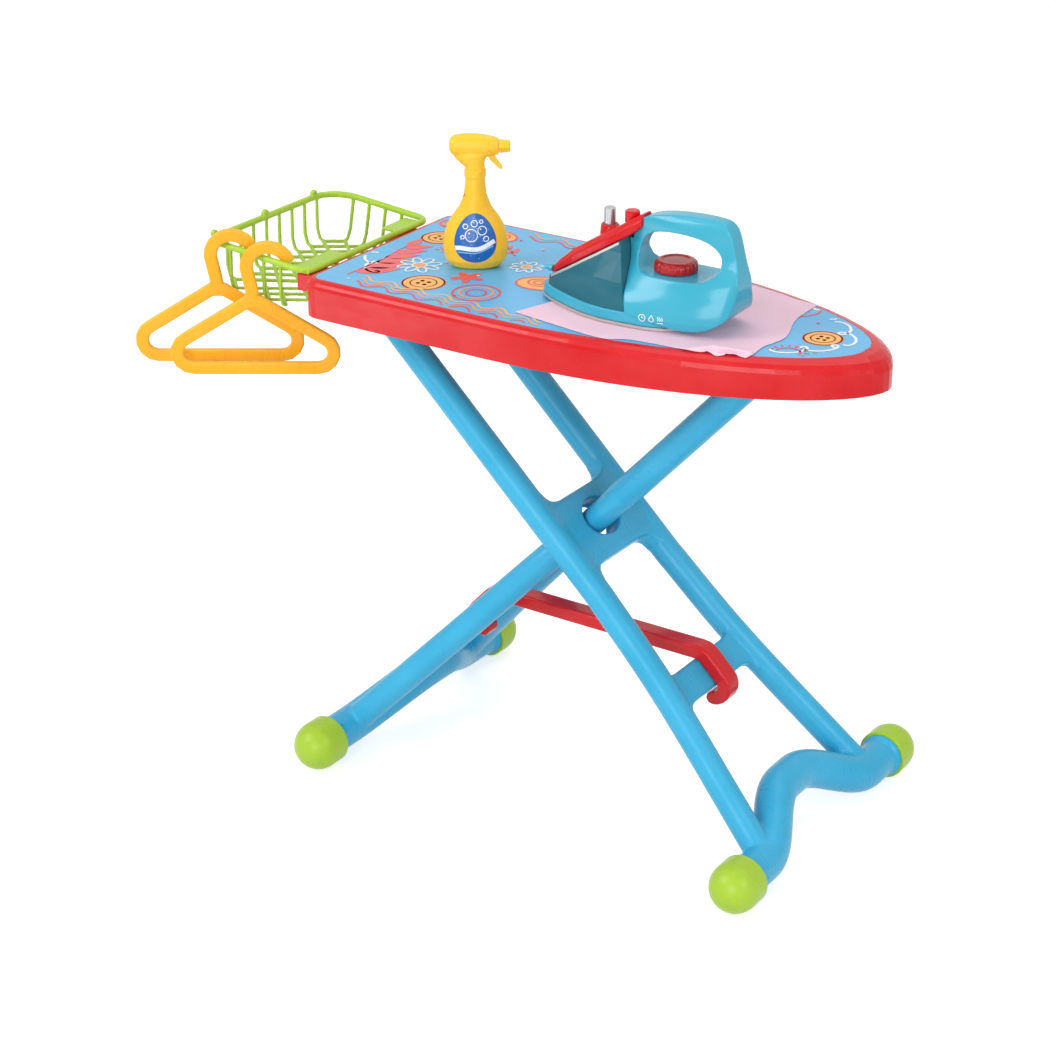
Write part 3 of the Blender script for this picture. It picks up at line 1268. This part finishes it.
def tank_envelope(name, inset):
    bm = bmesh.new()
    rings = []
    top = IRON_HEIGHT * 0.8
    for height, width, back in TANK_LEVEL_SHARES:
        up = BASE_TOP + SEAT_GAP + inset + height * (top - BASE_TOP)
        side = []
        for share, wide in SOLE_SHARES[:9]:
            along = SOLE_LENGTH * (back + (1 - back) * share) + inset
            side.append((along, max(wide * width * SOLE_WIDTH / 2 - inset, TANK_WALL / 4)))
        points = side + [(a, -b) for a, b in reversed(side)]
        rings.append([iron_point(a, b, up) for a, b in points])
    loft(bm, rings)
    return solid(name, bm, tank_plastic())


def tank_profile(inset, top_shift):
    """Side outline of the tank under the cover's lower face and before the shells' sloping front."""
    (low_share, low_height), (top_share, top_height) = PROFILE_SHARES[0], PROFILE_SHARES[-1]
    lean = (low_share - top_share) * IRON_LENGTH / ((top_height - low_height) * IRON_HEIGHT)
    ground = TANK_BACK + lean * top_height * IRON_HEIGHT - SEAT_GAP - inset
    front = COVER_SHARES[0][0] * IRON_LENGTH - inset
    rows = [(front, BASE_TOP + inset), (ground - lean * (BASE_TOP + inset), BASE_TOP + inset)]
    slope = [(a * IRON_LENGTH, h * IRON_HEIGHT + top_shift) for a, h, _ in COVER_SHARES[:6]]
    (near, low), (far, high) = slope[-2:]
    rise = (high - low) / (far - near)
    back = (ground - lean * (low - rise * near)) / (1 + lean * rise)
    line = [(back, low + rise * (back - near))] + list(reversed(slope[:-1]))
    return [iron_point(a, -SOLE_WIDTH, b) for a, b in rows + line]


def tank():
    body = tank_envelope("iron_water_tank", 0)
    across = iron_point(0, SOLE_WIDTH * 2, 0) - iron_point(0, 0, 0)
    combine(body, "INTERSECT", extrude("side", tank_profile(0, -SEAT_GAP), across))
    hollow = tank_envelope("hollow", TANK_WALL)
    combine(hollow, "INTERSECT", extrude("side", tank_profile(TANK_WALL, OVERRUN), across))
    combine(body, "DIFFERENCE", hollow)
    paint(body, tank_plastic())
    return body


def iron_controls():
    up = Vector((0, 0, 1))
    ease = POST_RADIUS / 6
    length = POST_TOP - BOSS_TOP + PRESS_TRAVEL * 3
    post = turned("iron_spray_post", [(-length, POST_RADIUS), (-ease, POST_RADIUS), (0, POST_RADIUS - ease)],
                  iron_point(POST_ALONG, 0, POST_TOP), up, silver_plastic(), 28)
    put_origin(post, iron_point(POST_ALONG, 0, POST_TOP))
    ease = BUTTON_RADIUS / 6
    button = turned("iron_steam_button", [(-BUTTON_RADIUS * 1.6, BUTTON_RADIUS), (-ease, BUTTON_RADIUS),
                                          (0, BUTTON_RADIUS - ease)],
                    iron_point(BUTTON_ALONG, 0, BUTTON_TOP), up, red_plastic(), 28)
    put_origin(button, iron_point(BUTTON_ALONG, 0, BUTTON_TOP))
    dial()
    tip = iron_point(COVER_SHARES[0][0] * IRON_LENGTH - SEAT_GAP, 0, IRON_HEIGHT * 0.25)
    forward = (iron_point(0, 0, 0) - iron_point(1, 0, 0)).normalized()
    turned("iron_spray_tip", [(0, SPRAY_TIP_RADIUS), (SPRAY_TIP_LENGTH / 2, SPRAY_TIP_RADIUS),
                              (SPRAY_TIP_LENGTH / 2, SPRAY_TIP_RADIUS * 0.7), (SPRAY_TIP_LENGTH,
                                                                               SPRAY_TIP_RADIUS * 0.6)],
           tip, forward, teal_plastic(), 16)


def dial():
    """The scalloped temperature dial on its spindle."""
    centre = iron_point(DIAL_ALONG, 0, DIAL_SEAT)
    bm = bmesh.new()
    count = DIAL_FLUTES * 2
    levels = ((0, 0.95), (0.15, 1.0), (0.8, 1.0), (1.0, 0.88))
    rings = []
    for height, size in levels:
        ring = []
        for i in range(count):
            wave = 1 - 0.035 * (1 - math.cos(math.tau * i / 2)) / 2 * (1 if 0 < height < 1 else 0)
            angle = math.tau * i / count
            ring.append(centre + Vector((math.cos(angle), math.sin(angle), 0)) * DIAL_RADIUS * size * wave
                        + Vector((0, 0, height * DIAL_THICK)))
        rings.append(ring)
    loft(bm, rings)
    knob = solid("iron_dial", bm, red_plastic())
    spindle = turned("spindle", [(-DIAL_THICK * 0.7, AXLE_RADIUS), (DIAL_THICK / 2, AXLE_RADIUS)], centre,
                     Vector((0, 0, 1)), red_plastic(), 20)
    combine(knob, "UNION", spindle)
    paint(knob, red_plastic())
    put_origin(knob, centre)
    return knob


# Spray bottle
def bottle_point(right, front, up):
    turn = Matrix.Rotation(BOTTLE_TURN, 4, "Z")
    return Matrix.Translation((BOTTLE_X, BOTTLE_Y, SURFACE)) @ turn @ Vector((right, -front, up))


# Height share, half width share, half depth share
BOTTLE_SHARES = ((0.0, 0.66, 0.66), (0.02, 0.76, 0.76), (0.09, 0.93, 0.96), (0.22, 1.0, 1.0),
                 (0.36, 0.96, 0.93),
                 (0.48, 0.86, 0.82), (0.58, 0.70, 0.72), (0.68, 0.50, 0.66), (0.80, 0.38, 0.60),
                 (0.92, 0.335, 0.56),
                 (1.0, 0.325, 0.53))


def bottle_ring(height, width, depth, inset=0, count=20):
    up = height * BOTTLE_BODY_HEIGHT
    ring = []
    for i in range(count):
        angle = math.tau * i / count
        ring.append(bottle_point((BOTTLE_WIDTH / 2 * width - inset) * math.cos(angle),
                                 (BOTTLE_DEPTH / 2 * depth - inset) * math.sin(angle), up))
    return ring


def bottle_body():
    bm = bmesh.new()
    neck = NECK_RADIUS * 2 / BOTTLE_WIDTH
    deep = NECK_RADIUS * 2 / BOTTLE_DEPTH
    top = (BOTTLE_BODY_HEIGHT + NECK_RISE) / BOTTLE_BODY_HEIGHT
    rings = [bottle_ring(*row) for row in BOTTLE_SHARES]
    rings += [bottle_ring(1, neck, deep), bottle_ring(top, neck, deep),
              bottle_ring(top, neck, deep, BOTTLE_WALL)]
    inner = [bottle_ring(height, width, depth, BOTTLE_WALL) for height, width,
             depth in reversed(BOTTLE_SHARES[1:-1:2])]
    rings += [bottle_ring(1, neck, deep, BOTTLE_WALL)] + inner
    loft(bm, rings)
    body = solid("bottle_body", bm, bottle_plastic())
    return body


LABEL_ROW_SHARES = (0.10, 0.16, 0.22, 0.29, 0.36, 0.42, 0.48, 0.56)


def bottle_label():
    """The oval label on the front, bent round the bottle's side."""
    bm = bmesh.new()
    across, rows = 10, len(LABEL_ROW_SHARES) - 1
    grid = {}
    for layer in (0, 1):
        for j in range(rows + 1):
            height = LABEL_ROW_SHARES[j]
            share = (height - LABEL_ROW_SHARES[0]) / (LABEL_ROW_SHARES[-1] - LABEL_ROW_SHARES[0])
            half = 0.92 * math.sqrt(max(math.sin(math.pi * min(max(share * 0.94 + 0.03, 0), 1)),
                                        0)) * (1 - 0.42 * share)
            size = bottle_size(height)
            for i in range(across + 1):
                angle = math.asin(min(max((i / across * 2 - 1) * half / max(size[0], half), -0.98), 0.98))
                grow = SEAT_GAP + LABEL_THICK * layer
                grid[layer, j, i] = bm.verts.new(bottle_point(
                    (BOTTLE_WIDTH / 2 * size[0] + grow) * math.sin(angle),
                    (BOTTLE_DEPTH / 2 * size[1] + grow) * math.cos(angle), height * BOTTLE_BODY_HEIGHT))
    for layer in (0, 1):
        for j in range(rows):
            for i in range(across):
                bm.faces.new((grid[layer, j, i], grid[layer, j, i + 1], grid[layer, j + 1, i + 1],
                              grid[layer, j + 1, i]))
    for i in range(across):
        for j in (0, rows):
            bm.faces.new((grid[0, j, i], grid[0, j, i + 1], grid[1, j, i + 1], grid[1, j, i]))
    for j in range(rows):
        for i in (0, across):
            bm.faces.new((grid[0, j, i], grid[0, j + 1, i], grid[1, j + 1, i], grid[1, j, i]))
    return solid("bottle_label", bm, label_film())


def bottle_size(height):
    for low, high in zip(BOTTLE_SHARES, BOTTLE_SHARES[1:]):
        if height <= high[0]:
            share = (height - low[0]) / (high[0] - low[0])
            return low[1] + (high[1] - low[1]) * share, low[2] + (high[2] - low[2]) * share
    return BOTTLE_SHARES[-1][1:]


def bottle_top():
    """Collar, head, nozzle, trigger with its pin, and dip tube."""
    up = Vector((0, 0, 1))
    right = (bottle_point(1, 0, 0) - bottle_point(0, 0, 0)).normalized()
    low = BOTTLE_BODY_HEIGHT + SEAT_GAP
    ease = COLLAR_HEIGHT / 8
    collar = turned("bottle_collar", [(0, COLLAR_RADIUS), (COLLAR_HEIGHT - ease, COLLAR_RADIUS),
                                      (COLLAR_HEIGHT, COLLAR_RADIUS - ease)],
                    bottle_point(0, 0, low), up, bottle_plastic(), 32)
    bore = turned("bore", [(-OVERRUN, NECK_RADIUS + SEAT_GAP), (COLLAR_HEIGHT + OVERRUN,
                                                                NECK_RADIUS + SEAT_GAP)],
                  bottle_point(0, 0, low), up, count=28)
    combine(collar, "DIFFERENCE", bore)
    paint(collar, bottle_plastic())
    head()
    shaft = low + COLLAR_HEIGHT
    height = shaft + HEAD_HEIGHT * 0.63
    start = bottle_point(HEAD_LENGTH * 0.48 + SEAT_GAP, 0, height)
    nozzle = turned("bottle_nozzle", [(0, NOZZLE_RADIUS * 0.92), (NOZZLE_LENGTH * 0.15, NOZZLE_RADIUS),
                                      (NOZZLE_LENGTH * 0.9, NOZZLE_RADIUS * 0.86), (NOZZLE_LENGTH,
                                                                                    NOZZLE_RADIUS * 0.76)],
                    start, right, bottle_plastic(), 8)
    put_origin(nozzle, start)
    trigger(shaft)
    turned("bottle_dip_tube", [(0, TUBE_RADIUS), (BOTTLE_BODY_HEIGHT * 0.93, TUBE_RADIUS)],
           bottle_point(0, 0, BOTTLE_WALL + BOTTLE_BODY_HEIGHT * 0.05), up, white_plastic(), 12)


# Along share, height share of the head's middle line, half height share
HEAD_SHARES = ((-0.52, 0.66, 0.10), (-0.50, 0.66, 0.20), (-0.42, 0.655, 0.29), (-0.25, 0.65, 0.335),
               (0.0, 0.645, 0.345),
               (0.2, 0.64, 0.32), (0.36, 0.635, 0.275), (0.46, 0.63, 0.235), (0.48, 0.63, 0.225))


def head():
    """The sprayer's head with its stem down into the collar."""
    low = BOTTLE_BODY_HEIGHT + SEAT_GAP + COLLAR_HEIGHT
    bm = bmesh.new()
    rings = []
    for along, middle, half in HEAD_SHARES:
        ring = []
        for i in range(16):
            angle = math.tau * i / 16
            wide = HEAD_HALF_WIDTH * min(half / 0.3, 1)
            ring.append(bottle_point(along * HEAD_LENGTH, wide * math.cos(angle),
                                     low + HEAD_HEIGHT * (middle + half * math.sin(angle))))
        rings.append(ring)
    loft(bm, rings)
    made = solid("bottle_head", bm, bottle_plastic())
    stem = bmesh.new()
    rows = ((0.0, 0.0, 0.17), (0.12, 0.0, 0.17), (0.30, -0.01, 0.19), (0.46, -0.04, 0.30),
            (0.60, -0.03, 0.38))
    rings = []
    for height, shift, half in rows:
        ring = []
        for i in range(14):
            angle = math.tau * i / 14
            ring.append(bottle_point(HEAD_LENGTH * (shift + half * math.cos(angle)),
                                     HEAD_HALF_WIDTH * 0.9 * math.sin(angle),
                                     low + SEAT_GAP + HEAD_HEIGHT * height))
        rings.append(ring)
    loft(stem, rings)
    combine(made, "UNION", solid("stem", stem, bottle_plastic()))
    plug = turned("plug", [(-COLLAR_HEIGHT - NECK_RISE / 2, NECK_RADIUS - BOTTLE_WALL - SEAT_GAP),
                           (SEAT_GAP * 4, NECK_RADIUS - BOTTLE_WALL - SEAT_GAP)],
                  bottle_point(0, 0, low), Vector((0, 0, 1)), count=20)
    combine(made, "UNION", plug)
    tube = turned("tube", [(-COLLAR_HEIGHT - NECK_RISE, TUBE_RADIUS + SEAT_GAP), (0, TUBE_RADIUS + SEAT_GAP)],
                  bottle_point(0, 0, low), Vector((0, 0, 1)), count=12)
    front = trigger_pin_place()
    slot_half = TRIGGER_THICK / 2 + RUN_GAP
    slot = extrude("slot", [bottle_point(front[0] - TRIGGER_THICK, -slot_half, front[1] - HEAD_HEIGHT),
                            bottle_point(front[0] + HEAD_LENGTH * 0.14, -slot_half, front[1] - HEAD_HEIGHT),
                            bottle_point(front[0] + HEAD_LENGTH * 0.14, -slot_half, front[1] + TRIGGER_THICK),
                            bottle_point(front[0] - TRIGGER_THICK, -slot_half, front[1] + TRIGGER_THICK)],
                   bottle_point(0, slot_half * 2, 0) - bottle_point(0, 0, 0))
    pin = cylinder("pin", bottle_point(front[0], -HEAD_HALF_WIDTH, front[1]),
                   bottle_point(front[0], HEAD_HALF_WIDTH, front[1]),
                   TRIGGER_PIN_RADIUS + SEAT_GAP / 2, count=14)
    combine(made, "DIFFERENCE", tube, slot, pin)
    paint(made, bottle_plastic())
    return made


def trigger_pin_place():
    """Distance in front of the bottle's axis and height of the trigger's pin."""
    low = BOTTLE_BODY_HEIGHT + SEAT_GAP + COLLAR_HEIGHT
    return HEAD_LENGTH * 0.29, low + HEAD_HEIGHT * 0.50


def trigger(shaft):
    along, height = trigger_pin_place()
    half = TRIGGER_THICK / 2
    reach = TRIGGER_LENGTH
    rows = ((-0.10, 0.12), (0.12, 0.10), (0.20, -0.10), (0.30, -0.42), (0.52, -0.80), (0.56, -0.93),
            (0.46, -0.97), (0.28, -0.78), (0.02, -0.46), (-0.10, -0.20))
    outline = [bottle_point(along + a * reach, -half, height + b * reach * 0.8) for a, b in rows]
    lever = extrude("bottle_trigger", outline, bottle_point(0, half * 2, 0) - bottle_point(0, 0, 0),
                    bottle_plastic())
    bore = cylinder("bore", bottle_point(along, -HEAD_HALF_WIDTH, height),
                    bottle_point(along, HEAD_HALF_WIDTH, height),
                    TRIGGER_PIN_RADIUS + RUN_GAP / 4, count=14)
    combine(lever, "DIFFERENCE", bore)
    paint(lever, bottle_plastic())
    put_origin(lever, bottle_point(along, 0, height))
    reach_y = HEAD_HALF_WIDTH * 0.75
    cylinder("bottle_trigger_pin", bottle_point(along, -reach_y, height),
             bottle_point(along, reach_y, height),
             TRIGGER_PIN_RADIUS, screw_steel(), 14)


# World placing
def shift_to_floor_centre():
    """Moves the finished toy so that the origin is on the floor under the middle of its bounding box."""
    bpy.context.view_layer.update()
    corners = [thing.matrix_world @ Vector(corner)
               for thing in bpy.data.objects for corner in thing.bound_box]
    low = Vector(min(corner[axis] for corner in corners) for axis in range(3))
    high = Vector(max(corner[axis] for corner in corners) for axis in range(3))
    shift = Vector((-(low.x + high.x) / 2, -(low.y + high.y) / 2, -low.z))
    for thing in bpy.data.objects:
        thing.location += shift
    bpy.context.view_layer.update()
    return shift


def build():
    clear_scene()
    board_shell()
    board_cover()
    for word, side in (("near", -1), ("far", 1)):
        hinge_bracket(f"hinge_bracket_{word}", side)
        slide_channel(f"slide_channel_{word}", side)
        foot_cap(f"foot_cap_a_{word}", FOOT_A, side)
        foot_cap(f"foot_cap_b_{word}", FOOT_B, side)
        slider_shoe(f"slider_shoe_{word}", side)
        hub_pin(f"hub_pin_{word}", side)
    basket_bracket("basket_bracket_near", BRACKET_NEAR_Y)
    basket_bracket("basket_bracket_far", BRACKET_FAR_Y)
    screws()
    leg_a_frame()
    leg_b_frame()
    axle("leg_a_axle", PIN_A, EAR_INNER_Y + EAR_WIDTH + OVERRUN)
    axle("leg_b_axle", PIN_B, UPPER_TUBE_RADIUS + 4 * RUN_GAP + SHOE_WIDTH)
    spreader_hook()
    basket()
    hanger("hanger_front", HANGER_FRONT_X)
    hanger("hanger_back", HANGER_FRONT_X + HANGER_SPACING)
    cloth()
    soleplate()
    iron_shell("iron_shell_near", -1)
    iron_shell("iron_shell_far", 1)
    tank()
    nose_cover()
    iron_controls()
    bottle_body()
    bottle_label()
    bottle_top()
    return shift_to_floor_centre()


SHIFT = build()
print("moved by", [round(value, 6) for value in SHIFT])
